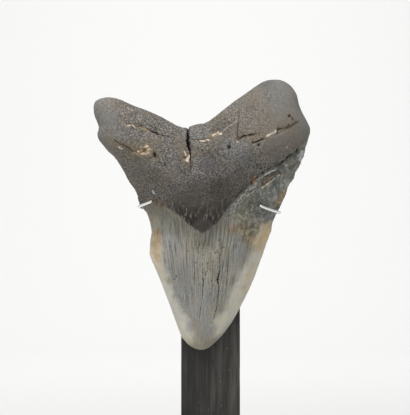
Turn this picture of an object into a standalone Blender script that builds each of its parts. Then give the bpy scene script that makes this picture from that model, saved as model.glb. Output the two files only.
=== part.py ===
"""A fossil shark tooth on its stand.

The tooth hangs tip down in front of a square dark-wood post. Two bent wire prongs, set in holes in the
sides of the post, hook round its edges. The post stands on a wooden foot.

Frame: metres, +Z up, the tooth's display face looks along -Y, and the origin is the centre of the foot's
underside. The tables below are in millimetres, in the tooth's own frame: x to the right, z up from the tip.
"""

import bmesh
import bpy
import numpy as np
from mathutils import Matrix, Vector

MM = 0.001

# Sizes of the stand, in millimetres.
FIT_GAP = 0.3
FOOT_SIZE = (84.0, 76.0, 16.0)
FOOT_CHAMFER = 1.5
POST_SIDE = 27.0
POST_FRONT_Y = -3.5
POST_TOP_Z = 146.0
POST_CHAMFER = 0.6
CHAMFER_SEGMENTS = 2
WIRE_DIAMETER = 1.3
WIRE_SIDES_RESOLUTION = 4
WIRE_HOLE_DEPTH = 9.0
WIRE_TAIL_DEPTH = 8.0
DRILL_SIDES = 16
DRILL_OVERSHOOT = 2.0

# Where the tooth's frame lies in the stand's: its tip, on the plane of the tooth's back.
TOOTH_BACK_GAP = 0.4
TOOTH_TIP = Vector((-4.6, POST_FRONT_Y - TOOTH_BACK_GAP, 62.0))

# Linear colours, roughness and metallic value of each material.
FOSSIL = ((0.19, 0.18, 0.155), 0.6, 0.0)
DARK_WOOD = ((0.05, 0.048, 0.043), 0.55, 0.0)
WHITE_METAL = ((0.8, 0.8, 0.78), 0.3, 1.0)

# The tooth's outline, in quarters that meet on its middle line.
TOP_LEFT = (
    (-5.2, 101.2), (-7.5, 101.2), (-10.1, 101.8), (-13.7, 104.0), (-21.0, 107.8), (-28.3, 110.6),
    (-35.6, 113.7), (-39.1, 114.8), (-42.0, 115.2), (-45.0, 114.9), (-47.5, 113.7),
)
TOP_RIGHT = (
    (-5.2, 101.2), (-3.0, 102.2), (0.9, 102.6), (6.4, 106.2), (13.7, 112.1), (21.0, 117.3),
    (26.5, 121.1), (30.2, 122.8), (33.8, 123.2), (37.7, 122.5), (41.1, 120.4),
)
LEFT_ROOT = (
    (-47.5, 113.7), (-48.6, 111.3), (-48.5, 108.3), (-47.8, 105.6), (-46.3, 102.1), (-46.6, 99.6),
    (-46.9, 97.8), (-45.2, 95.3), (-42.7, 91.9), (-39.8, 88.7), (-36.8, 85.2), (-34.0, 80.4),
    (-30.6, 74.9), (-28.7, 70.8), (-27.4, 66.5),
)
RIGHT_ROOT = (
    (41.1, 120.4), (43.4, 117.2), (44.6, 112.9), (45.7, 109.5), (48.1, 105.1), (49.9, 101.7),
    (50.0, 99.2), (48.5, 94.6),
)
LEFT_CROWN = (
    (-27.4, 66.5), (-26.0, 65.1), (-24.2, 62.8), (-23.1, 59.2), (-22.3, 54.8), (-22.5, 51.2),
    (-23.1, 48.4), (-23.0, 45.0), (-21.9, 41.1), (-19.7, 35.9), (-16.5, 27.6), (-13.4, 19.4),
    (-10.5, 11.4), (-8.5, 6.2), (-6.2, 3.2),
)
RIGHT_CROWN = (
    (48.5, 94.6), (47.6, 91.4), (47.1, 89.3), (45.9, 87.3), (45.5, 85.1), (43.3, 81.3), (43.1, 79.7),
    (40.0, 75.1), (39.3, 72.7), (36.8, 67.0), (34.5, 62.4), (32.5, 57.8), (32.2, 55.1), (30.2, 49.8),
    (27.0, 41.1), (23.1, 30.6), (18.5, 21.0), (14.2, 13.1), (10.1, 7.3), (5.7, 2.7),
)
TIP_LEFT = ((-0.3, 0.1), (-2.3, 0.6), (-4.3, 1.7), (-6.2, 3.2))
TIP_RIGHT = ((-0.3, 0.1), (1.6, 0.3), (3.7, 1.1), (5.7, 2.7))

# The line where the root ends and the enamel begins, and the tooth's middle line above and below it.
JUNCTION_LEFT = (
    (1.4, 53.3), (-1.1, 54.0), (-4.8, 56.4), (-9.4, 60.3), (-15.8, 64.2), (-22.2, 66.7), (-27.4, 66.5),
)
JUNCTION_RIGHT = (
    (1.4, 53.3), (3.9, 54.2), (7.1, 56.9), (10.7, 60.8), (14.4, 65.1), (18.5, 69.7), (23.1, 74.5),
    (28.1, 78.6), (33.6, 82.3), (38.6, 85.9), (42.7, 90.3), (45.5, 92.8), (48.5, 94.6),
)
MIDDLE_ROOT = ((-5.2, 101.2), (-3.9, 86.8), (-0.7, 68.5), (1.4, 53.3))
MIDDLE_CROWN = ((1.4, 53.3), (2.1, 36.6), (1.1, 18.3), (-0.3, 0.1))

# Depths in front of the plane of the tooth's back, by height: 0 is the root's top, 1 the junction, 2 the tip.
MIDDLE_FRONT = (
    (0.0, 9.5), (0.2, 14.5), (0.45, 21.5), (0.65, 24.0), (0.85, 21.0), (1.0, 17.5), (1.15, 16.6),
    (1.4, 14.4), (1.7, 10.8), (1.9, 7.6), (2.0, 5.6),
)
SIDE_FRONT = (
    (0.0, 9.5), (0.3, 12.8), (0.6, 12.6), (0.85, 9.0), (1.0, 5.4), (1.2, 2.6), (1.5, 2.0), (2.0, 4.6),
)
MIDDLE_BACK = ((0.0, 2.2), (0.4, 1.8), (0.8, 0.6), (1.2, 0.0), (1.5, 0.4), (1.8, 0.2), (2.0, 0.0))
SIDE_BACK = ((0.0, 0.2), (0.8, 0.3), (1.0, 0.7), (1.5, 0.7), (2.0, 0.3))
RIM_DEPTH = ((0.0, 4.6), (0.6, 4.8), (0.85, 3.8), (1.0, 2.2), (1.2, 1.3), (1.8, 1.2), (2.0, 2.4))
RIM_WIDTH = ((0.0, 6.0), (0.7, 6.0), (1.0, 3.0), (1.15, 1.5), (1.8, 1.5), (2.0, 3.0))
BACK_RIM_WIDTH = 5.0
BULGE_POWER = 2.2
ROOT_BULGE_FALL = 1.4
SOFTENING_PASSES = 16

# The root's lower border stands over the enamel on the right: (place from left -1 to right 1, ledge).
LEDGE = ((-1.0, 0.3), (-0.6, 0.5), (-0.2, 0.0), (0.15, 0.0), (0.4, 1.4), (0.8, 1.8), (1.0, 1.0))
LEDGE_START_HEIGHT = 0.55
LEDGE_WIDTH = 0.02

COLUMNS_PER_HALF = 20
ROOT_ROWS = 16
CROWN_ROWS = 20
EDGE_CROWDING = 0.7
SAMPLES_PER_SPAN = 8

# The open crack down from the notch between the root's lobes: (x, z, width, depth of its floor).
CRACK = (
    (-5.2, 103.5, 1.9, 1.5), (-5.3, 99.8, 1.1, 2.5), (-5.6, 96.0, 1.0, 7.0), (-5.1, 92.3, 1.1, 11.0),
    (-4.4, 89.8, 1.0, 15.0), (-3.9, 85.9, 0.6, 19.0), (-4.1, 82.3, 0.5, 21.5), (-4.6, 80.0, 0.4, 22.5),
)
CRACK_FLOOR_SHARE = 0.4
CRACK_MOUTH_DEPTH = 40.0

# Routes of the prongs' centre lines, in the stand's frame, from the hole in the post to the tip.
LEFT_PRONG = (
    (-13.5, -1.0, 126.0), (-17.0, -1.2, 126.0), (-23.0, -2.6, 126.1), (-28.0, -3.4, 126.5),
    (-31.0, -4.2, 127.0), (-32.6, -5.9, 127.3), (-32.5, -8.2, 127.6), (-31.0, -10.7, 128.3),
    (-29.0, -12.6, 129.0), (-27.0, -14.4, 129.8),
)
RIGHT_PRONG = (
    (13.5, -1.0, 126.0), (17.0, -1.2, 126.0), (22.5, -2.5, 125.8), (27.0, -3.3, 125.4),
    (29.8, -3.9, 125.0), (31.5, -5.3, 124.7), (31.2, -7.3, 124.9), (29.2, -9.4, 125.5),
    (26.0, -12.4, 126.5), (22.6, -15.2, 127.8),
)
ROUTE_SAMPLES = 5


def clear_scene():
    for scene_object in list(bpy.data.objects):
        bpy.data.objects.remove(scene_object)


def make_material(name, colour, roughness, metallic):
    material = bpy.data.materials.new(name)
    material.use_nodes = True
    shader = material.node_tree.nodes["Principled BSDF"]
    shader.inputs["Base Color"].default_value = (*colour, 1.0)
    shader.inputs["Roughness"].default_value = roughness
    shader.inputs["Metallic"].default_value = metallic
    return material


def smooth_line(points, samples=SAMPLES_PER_SPAN):
    """A Catmull-Rom curve through the points, as an array of closely spaced points."""
    points = np.array(points, float)
    ends = np.vstack([2 * points[0] - points[1], points, 2 * points[-1] - points[-2]])
    steps = np.linspace(0, 1, samples, endpoint=False)[:, None]
    spans = []
    for before, start, end, after in zip(ends, ends[1:], ends[2:], ends[3:]):
        spans.append(
            0.5 * (2 * start + (end - before) * steps
                   + (2 * before - 5 * start + 4 * end - after) * steps**2
                   + (3 * start - before - 3 * end + after) * steps**3)
        )
    return np.vstack([*spans, points[-1:]])


def at_fractions(points, fractions):
    """The places at these fractions of the length of the smooth line through the points."""
    line = smooth_line(points)
    length = np.concatenate([[0], np.cumsum(np.linalg.norm(np.diff(line, axis=0), axis=1))])
    length /= length[-1]
    return np.stack([np.interp(fractions, length, line[:, axis]) for axis in range(line.shape[1])], axis=1)


def from_table(table, values):
    """A smooth reading of a table of (place, value) pairs."""
    line = smooth_line(table)
    return np.interp(values, line[:, 0], line[:, 1])


def crowded_to_end(count):
    """Fractions from 0 to 1 that crowd towards 1."""
    even = np.linspace(0, 1, count + 1)
    return (1 - EDGE_CROWDING) * even + EDGE_CROWDING * np.sin(even * np.pi / 2)


def crowded_to_start(count):
    return 1 - crowded_to_end(count)[::-1]


def quarter(top, bottom, inner, outer, across, down):
    """A Coons patch between four border lines, as rows of (x, z) from the middle line to the outer edge."""
    top_row, bottom_row = at_fractions(top, across), at_fractions(bottom, across)
    inner_column, outer_column = at_fractions(inner, down), at_fractions(outer, down)
    s, t = across[None, :, None], down[:, None, None]
    ruled_down = (1 - t) * top_row[None] + t * bottom_row[None]
    ruled_across = (1 - s) * inner_column[:, None] + s * outer_column[:, None]
    corners = (
        (1 - s) * (1 - t) * top_row[0] + s * (1 - t) * top_row[-1]
        + (1 - s) * t * bottom_row[0] + s * t * bottom_row[-1]
    )
    return ruled_down + ruled_across - corners


def two_halves(left, right):
    """Rows that run from the left edge over the middle line to the right edge."""
    return np.concatenate([left[:, ::-1], right[:, 1:]], axis=1)


def tooth_grid():
    """Places (x, z), the share across from -1 to 1, and the height from 0 to 2 of every grid point."""
    across = crowded_to_end(COLUMNS_PER_HALF)
    root_down = crowded_to_start(ROOT_ROWS)
    crown_down = crowded_to_end(CROWN_ROWS)
    root = two_halves(
        quarter(TOP_LEFT, JUNCTION_LEFT, MIDDLE_ROOT, LEFT_ROOT, across, root_down),
        quarter(TOP_RIGHT, JUNCTION_RIGHT, MIDDLE_ROOT, RIGHT_ROOT, across, root_down),
    )
    crown = two_halves(
        quarter(JUNCTION_LEFT, TIP_LEFT, MIDDLE_CROWN, LEFT_CROWN, across, crown_down),
        quarter(JUNCTION_RIGHT, TIP_RIGHT, MIDDLE_CROWN, RIGHT_CROWN, across, crown_down),
    )
    places = np.concatenate([root, crown[1:]])
    share = np.concatenate([-across[::-1], across[1:]])
    height = np.concatenate([root_down, 1 + crown_down[1:]])
    return places, share[None, :] + 0 * height[:, None], height[:, None] + 0 * share[None, :]


def distance_to_edge(places):
    """How far each place lies from the tooth's outline."""
    edge = np.vstack([places[0], places[1:, -1], places[-1, -2::-1], places[-2::-1, 0]])
    start, step = edge[:-1], np.diff(edge, axis=0)
    offset = places[:, :, None] - start
    along = np.clip((offset * step).sum(-1) / np.maximum((step**2).sum(-1), 1e-9), 0, 1)
    return np.linalg.norm(offset - along[..., None] * step, axis=-1).min(-1)


def rounded(distance, width):
    """A quarter circle: 0 at the edge, 1 from this width inwards."""
    return np.sqrt(1 - (1 - np.clip(distance / width, 0, 1)) ** 2)


def softened_across(depths):
    """Rounds off the ridge that the V of the root would leave along the middle line."""
    for _ in range(SOFTENING_PASSES):
        beside = np.pad(depths, ((0, 0), (1, 1)), mode="edge")
        depths = (beside[:, :-2] + 2 * depths + beside[:, 2:]) / 4
    return depths


def tooth_depths(places, share, height):
    """The depths of the front and the back of the tooth, in front of the plane of its back."""
    distance = distance_to_edge(places)
    fall = np.where(height < 1, ROOT_BULGE_FALL, ROOT_BULGE_FALL + (1 - ROOT_BULGE_FALL) * (height - 1))
    bulge = (1 - np.abs(share) ** BULGE_POWER) ** fall
    rim = from_table(RIM_DEPTH, height)
    side, middle = from_table(SIDE_FRONT, height), from_table(MIDDLE_FRONT, height)
    front = softened_across(side + (middle - side) * bulge)
    rise = np.clip((height - LEDGE_START_HEIGHT) / (1 - LEDGE_START_HEIGHT), 0, 1) ** 2
    past_junction = np.clip((height - 1) / LEDGE_WIDTH, 0, 1)
    front = front + from_table(LEDGE, share) * rise * (1 - past_junction)
    back = from_table(SIDE_BACK, height)
    back = back + (from_table(MIDDLE_BACK, height) - back) * (1 - share**2)
    front = rim + (front - rim) * rounded(distance, from_table(RIM_WIDTH, height))
    back = rim + (back - rim) * rounded(distance, BACK_RIM_WIDTH)
    return front, back


def add_object(name, mesh, material=None):
    made = bpy.data.objects.new(name, mesh)
    bpy.context.scene.collection.objects.link(made)
    if material:
        mesh.materials.append(material)
    return made


def make_helper(made):
    """Marks a cutter, which shapes its neighbours and isn't a piece itself."""
    made.hide_render = True
    made.display_type = "WIRE"
    return made


def cut(body, cutter):
    modifier = body.modifiers.new(f"cut by {cutter.name}", "BOOLEAN")
    modifier.operation = "DIFFERENCE"
    modifier.object = cutter


def mesh_from(shape, name):
    bmesh.ops.recalc_face_normals(shape, faces=shape.faces)
    mesh = bpy.data.meshes.new(name)
    shape.to_mesh(mesh)
    shape.free()
    return mesh


def make_tooth(material):
    """One closed surface: a front and a back sheet that share the tooth's outline."""
    places, share, height = tooth_grid()
    front, back = tooth_depths(places, share, height)
    rows, columns = share.shape
    shape = bmesh.new()

    def on_outline(row, column):
        return row in (0, rows - 1) or column in (0, columns - 1)

    def vertex(row, column, depth):
        x, z = places[row, column]
        return shape.verts.new(Vector((x, -depth[row, column], z)) * MM)

    front_sheet = [[vertex(r, c, front) for c in range(columns)] for r in range(rows)]
    back_sheet = [
        [front_sheet[r][c] if on_outline(r, c) else vertex(r, c, back) for c in range(columns)]
        for r in range(rows)
    ]
    for sheet in (front_sheet, back_sheet):
        for upper, lower in zip(sheet, sheet[1:]):
            for c in range(columns - 1):
                shape.faces.new((upper[c], upper[c + 1], lower[c + 1], lower[c]))
    mesh = mesh_from(shape, "tooth")
    mesh.shade_smooth()
    tooth = add_object("tooth", mesh, material)
    tooth.location = TOOTH_TIP * MM
    crack = make_crack_cutter()
    crack.parent = tooth
    cut(tooth, crack)


def make_crack_cutter():
    """A zigzag wedge, open to the front, that follows the crack down from the notch."""
    shape = bmesh.new()
    sections = []
    for x, z, width, floor in CRACK:
        mouth, bottom = width / 2, width / 2 * CRACK_FLOOR_SHARE
        corners = (
            (x - mouth, -CRACK_MOUTH_DEPTH), (x + mouth, -CRACK_MOUTH_DEPTH),
            (x + bottom, -floor), (x - bottom, -floor),
        )
        sections.append([shape.verts.new(Vector((across, depth, z)) * MM) for across, depth in corners])
    for upper, lower in zip(sections, sections[1:]):
        for i in range(4):
            shape.faces.new((upper[i], upper[(i + 1) % 4], lower[(i + 1) % 4], lower[i]))
    shape.faces.new(sections[0])
    shape.faces.new(sections[-1])
    return make_helper(add_object("crack_cutter", mesh_from(shape, "crack_cutter")))


def make_box(name, low, high, chamfer, material):
    """A block between two corners, in millimetres, with its edges chamfered."""
    low, high = Vector(low), Vector(high)
    shape = bmesh.new()
    bmesh.ops.create_cube(shape, size=1.0)
    bmesh.ops.scale(shape, vec=(high - low) * MM, verts=shape.verts)
    bmesh.ops.translate(shape, vec=(low + high) / 2 * MM, verts=shape.verts)
    bmesh.ops.bevel(
        shape, geom=shape.edges[:], offset=chamfer * MM, segments=CHAMFER_SEGMENTS, profile=0.5,
        affect="EDGES",
    )
    return add_object(name, mesh_from(shape, name), material)


def make_stand(material):
    """The foot, and the post that stands on it, drilled for the prongs."""
    foot_width, foot_depth, foot_height = FOOT_SIZE
    make_box(
        "foot", (-foot_width / 2, -foot_depth / 2, 0), (foot_width / 2, foot_depth / 2, foot_height),
        FOOT_CHAMFER, material,
    )
    post = make_box(
        "post", (-POST_SIDE / 2, POST_FRONT_Y, foot_height + FIT_GAP),
        (POST_SIDE / 2, POST_FRONT_Y + POST_SIDE, POST_TOP_Z), POST_CHAMFER, material,
    )
    for side, route in ((-1, LEFT_PRONG), (1, RIGHT_PRONG)):
        cut(post, make_hole_cutter(side, route[0]))


def make_hole_cutter(side, mouth):
    """A drill for one prong's hole, sideways into the post."""
    radius = WIRE_DIAMETER / 2 + FIT_GAP
    shape = bmesh.new()
    bmesh.ops.create_cone(
        shape, cap_ends=True, segments=DRILL_SIDES, radius1=radius * MM, radius2=radius * MM,
        depth=(WIRE_HOLE_DEPTH + DRILL_OVERSHOOT) * MM, matrix=Matrix.Rotation(np.pi / 2, 4, "Y"),
    )
    centre = Vector(mouth) + Vector((side * (DRILL_OVERSHOOT - WIRE_HOLE_DEPTH) / 2, 0, 0))
    bmesh.ops.translate(shape, vec=centre * MM, verts=shape.verts)
    name = f"hole_cutter_{'left' if side < 0 else 'right'}"
    return make_helper(add_object(name, mesh_from(shape, name)))


def make_prong(name, route, material):
    """A round wire that leaves its hole straight and follows the route round the tooth's edge."""
    side = 1 if route[0][0] > 0 else -1
    tail = Vector(route[0]) - Vector((side * WIRE_TAIL_DEPTH, 0, 0))
    points = [tail, *smooth_line(route, ROUTE_SAMPLES)]
    curve = bpy.data.curves.new(name, "CURVE")
    curve.dimensions = "3D"
    curve.bevel_depth = WIRE_DIAMETER / 2 * MM
    curve.bevel_resolution = WIRE_SIDES_RESOLUTION
    curve.use_fill_caps = True
    spline = curve.splines.new("POLY")
    spline.points.add(len(points) - 1)
    for spline_point, place in zip(spline.points, points):
        spline_point.co = (*(Vector(place) * MM), 1.0)
    return add_object(name, curve, material)


clear_scene()
white_metal = make_material("white_metal", *WHITE_METAL)
make_tooth(make_material("fossil", *FOSSIL))
make_stand(make_material("dark_wood", *DARK_WOOD))
make_prong("left_prong", LEFT_PRONG, white_metal)
make_prong("right_prong", RIGHT_PRONG, white_metal)
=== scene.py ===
import math
import bpy
import numpy as np
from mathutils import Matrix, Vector, noise


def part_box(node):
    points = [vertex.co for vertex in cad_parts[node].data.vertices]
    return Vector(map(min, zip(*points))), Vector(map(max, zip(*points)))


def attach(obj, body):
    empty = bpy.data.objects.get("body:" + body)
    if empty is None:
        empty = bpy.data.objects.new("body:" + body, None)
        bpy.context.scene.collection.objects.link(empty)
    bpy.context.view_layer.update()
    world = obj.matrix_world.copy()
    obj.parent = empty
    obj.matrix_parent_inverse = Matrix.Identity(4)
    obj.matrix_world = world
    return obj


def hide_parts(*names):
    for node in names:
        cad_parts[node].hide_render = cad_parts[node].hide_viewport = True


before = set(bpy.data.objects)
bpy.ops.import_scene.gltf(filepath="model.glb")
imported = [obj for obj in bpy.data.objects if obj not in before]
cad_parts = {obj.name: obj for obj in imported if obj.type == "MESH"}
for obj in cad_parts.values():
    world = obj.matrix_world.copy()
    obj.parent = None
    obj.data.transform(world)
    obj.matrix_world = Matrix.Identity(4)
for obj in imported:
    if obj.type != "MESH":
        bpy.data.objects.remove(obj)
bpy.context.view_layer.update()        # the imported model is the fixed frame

mm = 0.001
print("frame loaded:", ", ".join(sorted(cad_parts)))


def linear(hexText):     # an sRGB hex value as a linear colour
    parts = [int(hexText[i:i + 2], 16) / 255 for i in (1, 3, 5)]
    return [*(v / 12.92 if v <= 0.04045 else ((v + 0.055) / 1.055) ** 2.4 for v in parts), 1.0]


def addNode(tree, kind, settings):
    # settings: a socket's name, or its number where a node has several of one name, or a property, with its
    # value or the node or socket that feeds it
    node = tree.nodes.new("ShaderNode" + kind)
    for key, value in settings.items():
        if isinstance(value, bpy.types.Node):
            value = next(socket for socket in value.outputs if socket.enabled)
        if isinstance(value, bpy.types.NodeSocket):
            tree.links.new(value, node.inputs[key])
        elif key == "ramp":
            while len(node.color_ramp.elements) < len(value):
                node.color_ramp.elements.new(1.0)
            for element, (place, colour) in zip(node.color_ramp.elements, value):
                element.position = place
                element.color = linear(colour)
        elif isinstance(key, int) or key in node.inputs:
            node.inputs[key].default_value = linear(value) if isinstance(value, str) else value
        else:
            setattr(node, key, value)
    return node


def startMaterial(name):
    material = bpy.data.materials.new(name)
    material.use_nodes = True
    material.node_tree.nodes.clear()
    return material, material.node_tree


def finishMaterial(material, settings):
    shader = addNode(material.node_tree, "BsdfPrincipled", settings)
    addNode(material.node_tree, "OutputMaterial", {"Surface": shader})
    return material


def between(ends):       # a Map Range node's settings, for what comes in from the first value to the second
    return {"From Min": ends[0], "From Max": ends[1]}


def onlySelect(target):
    if bpy.context.object and bpy.context.object.mode != "OBJECT":
        bpy.ops.object.mode_set(mode="OBJECT")
    bpy.ops.object.select_all(action="DESELECT")
    target.select_set(True)
    bpy.context.view_layer.objects.active = target


def applyModifier(target, kind, settings):
    modifier = target.modifiers.new(kind.title(), kind)
    for key, value in settings.items():
        setattr(modifier, key, value)
    onlySelect(target)
    bpy.ops.object.modifier_apply(modifier=modifier.name)


def readPoints(target):  # vertex places in millimetres, and their normals
    count = len(target.data.vertices)
    places, normals = np.zeros(count * 3), np.zeros(count * 3)
    target.data.vertices.foreach_get("co", places)
    target.data.vertices.foreach_get("normal", normals)
    return places.reshape(-1, 3) / mm, normals.reshape(-1, 3)


def writePoints(target, places):
    target.data.vertices.foreach_set("co", (places * mm).ravel())
    target.data.update()


def writeField(target, name, values):
    field = target.data.attributes.new(name, "FLOAT", "POINT")
    field.data.foreach_set("value", values.astype(np.float32))


def smoothStep(low, high, values):
    t = np.clip((values - low) / (high - low), 0, 1)
    return t * t * (3 - 2 * t)


def noiseAt(places, size, seed, octaves):
    # smooth noise about -1 to 1 whose features have this size, in mm, one number or one for each axis
    scaled = places / size + seed
    if octaves == 1:
        return np.array([noise.noise(p) for p in map(Vector, scaled)])
    return np.array([noise.fractal(p, 0.9, 2.0, octaves) for p in map(Vector, scaled)])


def nearestOnLine(line, x, z):
    # seen from the front, for a line of (x, z) or (x, z, width) points: how far each place is from it, on
    # which side, how far along it, from 0 to 1, and the line's width there
    line = np.array(line, float)
    widths = line[:, 2] if line.shape[1] > 2 else np.ones(len(line))
    if len(line) == 1:
        far = np.hypot(x - line[0, 0], z - line[0, 1])
        return far, np.ones_like(far), np.full_like(far, 0.5), np.full_like(far, widths[0])
    lengths = np.hypot(*np.diff(line[:, :2], axis=0).T)
    starts = np.concatenate([[0.0], np.cumsum(lengths)])
    best, side, along = np.full(len(x), 1e9), np.ones(len(x)), np.zeros(len(x))
    for start, end, length, walked in zip(line, line[1:], lengths, starts):
        stepX, stepZ = (end[:2] - start[:2]) / length
        run = np.clip((x - start[0]) * stepX + (z - start[1]) * stepZ, 0, length)
        awayX, awayZ = x - start[0] - run * stepX, z - start[1] - run * stepZ
        far = np.hypot(awayX, awayZ)
        closer = far < best
        best = np.where(closer, far, best)
        side = np.where(closer, np.where(awayX * stepZ > awayZ * stepX, 1.0, -1.0), side)
        along = np.where(closer, walked + run, along)
    return best, side, along / starts[-1], np.interp(along, starts, widths)


# camera: level, a long lens, about a metre away

cameraLook = {
    "aim": (-2.55, -7.0, 127.1),     # mm, the middle of the frame on the tooth's rim
    "distance": 1000.0,
    "frameHeight": 189.7,            # mm that the frame's long side covers at the aim
    "sensor": 36.0,
    "nearest": 10.0,
    "farthest": 20000.0,
}


def makeCamera():
    look = cameraLook
    x, y, z = look["aim"]
    bpy.ops.object.camera_add(
        location=(x * mm, (y - look["distance"]) * mm, z * mm), rotation=(math.pi / 2, 0, 0))
    camera = bpy.context.object
    camera.data.sensor_width = look["sensor"]
    camera.data.lens = look["sensor"] * look["distance"] / look["frameHeight"]
    camera.data.clip_start = look["nearest"] * mm
    camera.data.clip_end = look["farthest"] * mm
    bpy.context.scene.camera = camera


makeCamera()
print("camera placed")

# the tooth, one fossil piece

toothLook = {
    "voxel": 0.395,          # mm between vertices on the display face
    "smoothing": 14,
    "backShare": 0.12,       # share of the triangles kept on the flat back
    "backFacing": 0.75,      # how squarely a face has to look back to be thinned
    "tipX": -4.9,            # mm, where the tip lies
    "fanPoint": -5.0,        # height in mm at which the enamel's strands would meet
    "fanSpan": 105.0,        # mm above it, where the strands have their own width
    "frayOfBorder": 0.45,    # mm that the strands fray the border of the root
    "topPush": 0.42,         # mm, gives the rim back what smoothing takes off
    "notchStep": 0.8,        # mm, the step in the rim right of the notch
    "rootPores": 0.30,       # mm, the deepest pores
    "rootSwells": 0.22,
    "strandRelief": 0.06,
    "bandRelief": 0.13,
    "flakeSteps": 0.22,
    "crackDepth": 3.0,       # times a crack's half width
    "leftLobeWearAndLight": 0.7, "rightRootWearAndLight": 0.45,      # how smooth they are worn and how far their lighter tone covers them, partly a painted highlight where they face up; 1 is the right lobe
    "lowRootLeft": 0.15,     # share of the low root's darker tone and painted shade on the far left
    "bandFadeRight": 0.7,    # share of the dark band's tone that is lost on the right
    "apex": (-3.4, 118.5),   # mm, middle of the dark band's grainy lowest part
    "apexFlatness": 1.3,     # how much wider than tall it is
    "acrossPleats": (0.82, -0.57),   # direction in x and z
    "marginDrift": (2.2, 2.0, 3.0),  # mm that the pale margins drift on the left, on the right and in height
}
# where each zone fades in: it is nothing at the first value and whole at the second, in mm unless noted
zoneFades = {
    "front": (-0.25, 0.15),          # how squarely the surface looks forward
    "top": (0.5, 0.8),               # how squarely it looks up
    "root": (-0.75, 0.75),           # above the border of root and enamel
    "overBand": (0.25, 1.5),         # in heights of the dark band
    "bandLeft": (-26, -11), "bandRight": (1, 9),
    "leftLobe": (-38, -47), "rightLobe": (20, 32), "rightLobeUp": (146, 163),
    "rightRoot": (4, 16), "rightRootUp": (147, 160),
    "pleatsDown": (-0.2, -1.0), "pleatsUp": (-7.5, -4.0), "pleatsLeft": (4, 12), "pleatsRight": (26, 19),
    "shoulderLeft": (8, 16), "shoulderUp": (108, 116),
    "notchLeft": (-9.9, -9.5), "notchRight": (1.0, -7.0),
    "underBand": (-13, -1),
    "lowRoot": (24, 4), "lowRootLeft": (-24, -8), "lowRootRight": (26, 4),
    "apex": (6.0, 3.0),              # from its middle
    "marginLeft": (2.8, -3.2), "marginLeftTop": (121, 106),
    "marginRight": (-2.2, 2.6), "marginRightTop": (125, 118),
    "paleTip": (69, 60), "lined": (72, 94),
    "bigSteps": (0.0, 0.14), "smallSteps": (0.0, 0.2),     # noise values
    "pitEdge": (1.5, 0.4),           # in radii of the pit
    "crackReach": (1.8, 1.0),        # from the crack's line
    "crackStart": (0, 0.05), "crackEnd": (1, 0.95),        # shares of the crack's length
}
# what makes the tooth uneven: strength, size of the features in mm, seed and octaves
toothNoise = {
    "backBorder": (2.2, 13.0, 33.0, 2), "borderFray": (0.7, 2.6, 3.0, 2),
    "longLines": (1.0, (0.75, 1.0, 18.0), 7.0, 2), "shortLines": (1.0, (0.8, 1.0, 5.0), 11.0, 2),
    "pores": (1.0, 0.95, 1.0, 2), "swells": (1.0, 7.0, 5.0, 2),
    "bigSteps": (1.0, 3.4, 51.0, 2), "smallSteps": (1.0, 1.3, 61.0, 1),
    "crackWobble": (0.14, 1.1, 71.0, 2), "crackBend": (0.16, 3.6, 81.0, 1), "crackWidth": (0.7, 1.0, 91.0, 2),
    "fray": (1.0, 1.2, 21.0, 3), "patchy": (1.0, 1.8, 97.0, 2), "drift": (1.0, 5.0, 41.0, 3),
}

# the lower border of the dark band on the display face, and the border of root and enamel on the back
junctionFront = [
    (-32.5, 128.3), (-27.3, 131.1), (-20.2, 127.1), (-14.7, 123.7), (-10.7, 120.3), (-7.1, 117.4),
    (-3.2, 115.5), (0.2, 117.6), (3.8, 121.5), (7.8, 126.6), (10.7, 130.1), (13.9, 133.7), (16.2, 136.0),
    (20.0, 139.0), (23.5, 141.9), (27.2, 144.7), (30.8, 147.0), (33.5, 149.2), (37.7, 153.0), (43.9, 157.6),
]
junctionBack = [
    (-36.0, 134.0), (-26.0, 139.0), (-14.0, 144.5), (-4.0, 146.5), (8.0, 148.0), (22.0, 151.0),
    (43.9, 157.5),
]
# where the dark band starts, above its lower border
bandTop = [
    (-32.5, 133.0), (-22.9, 134.3), (-16.1, 130.9), (-9.3, 128.6), (-2.5, 127.7), (4.2, 129.3),
    (9.6, 133.4), (15.5, 139.8), (23.0, 143.5), (34.0, 151.5), (43.9, 159.0),
]
# inner borders of the pale margins of the crown
marginLeft = [
    (-6.5, 63.0), (-7.8, 68.0), (-10.6, 76.0), (-15.3, 85.0), (-18.2, 92.9), (-20.8, 101.5), (-22.6, 108.2),
    (-22.8, 114.0), (-25.0, 118.0), (-30.0, 121.0),
]
marginRight = [
    (2.2, 66.0), (2.0, 71.0), (2.8, 75.7), (4.9, 80.3), (7.0, 84.9), (8.9, 89.4), (11.0, 94.0),
    (13.4, 98.6), (16.1, 103.0), (18.6, 108.2), (19.6, 114.0), (22.5, 119.0), (30.0, 123.0),
]
# how far the rim is pushed out, in mm, by height: small scallops and worn chips
leftRim = [
    (62.0, 0.3), (84.0, 0.45), (100.0, 0.65), (105.0, 0.95), (110.0, 0.5), (117.0, 0.25), (125.0, 0.55),
    (129.6, 0.7), (133.0, 0.25), (139.5, 0.75), (143.0, 0.6), (148.0, 0.25), (151.0, 0.1), (154.0, 0.6),
    (159.5, 0.8), (162.0, 0.15), (165.0, 0.15), (170.0, 0.15), (175.0, 0.5),
]
rightRim = [
    (62.0, 0.3), (84.0, 0.6), (98.0, 0.85), (106.0, 0.85), (112.0, 0.65), (116.5, 1.1), (119.8, 0.4),
    (122.0, 0.3), (127.0, 0.75), (130.0, 0.5), (134.0, 0.9), (136.5, 0.35), (139.0, 0.85), (140.8, 1.25),
    (143.2, 0.5), (145.5, 0.95), (147.4, 1.2), (149.2, 0.75), (151.6, 1.05), (154.5, 0.5), (160.0, 0.2),
    (184.0, 0.3),
]

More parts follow.
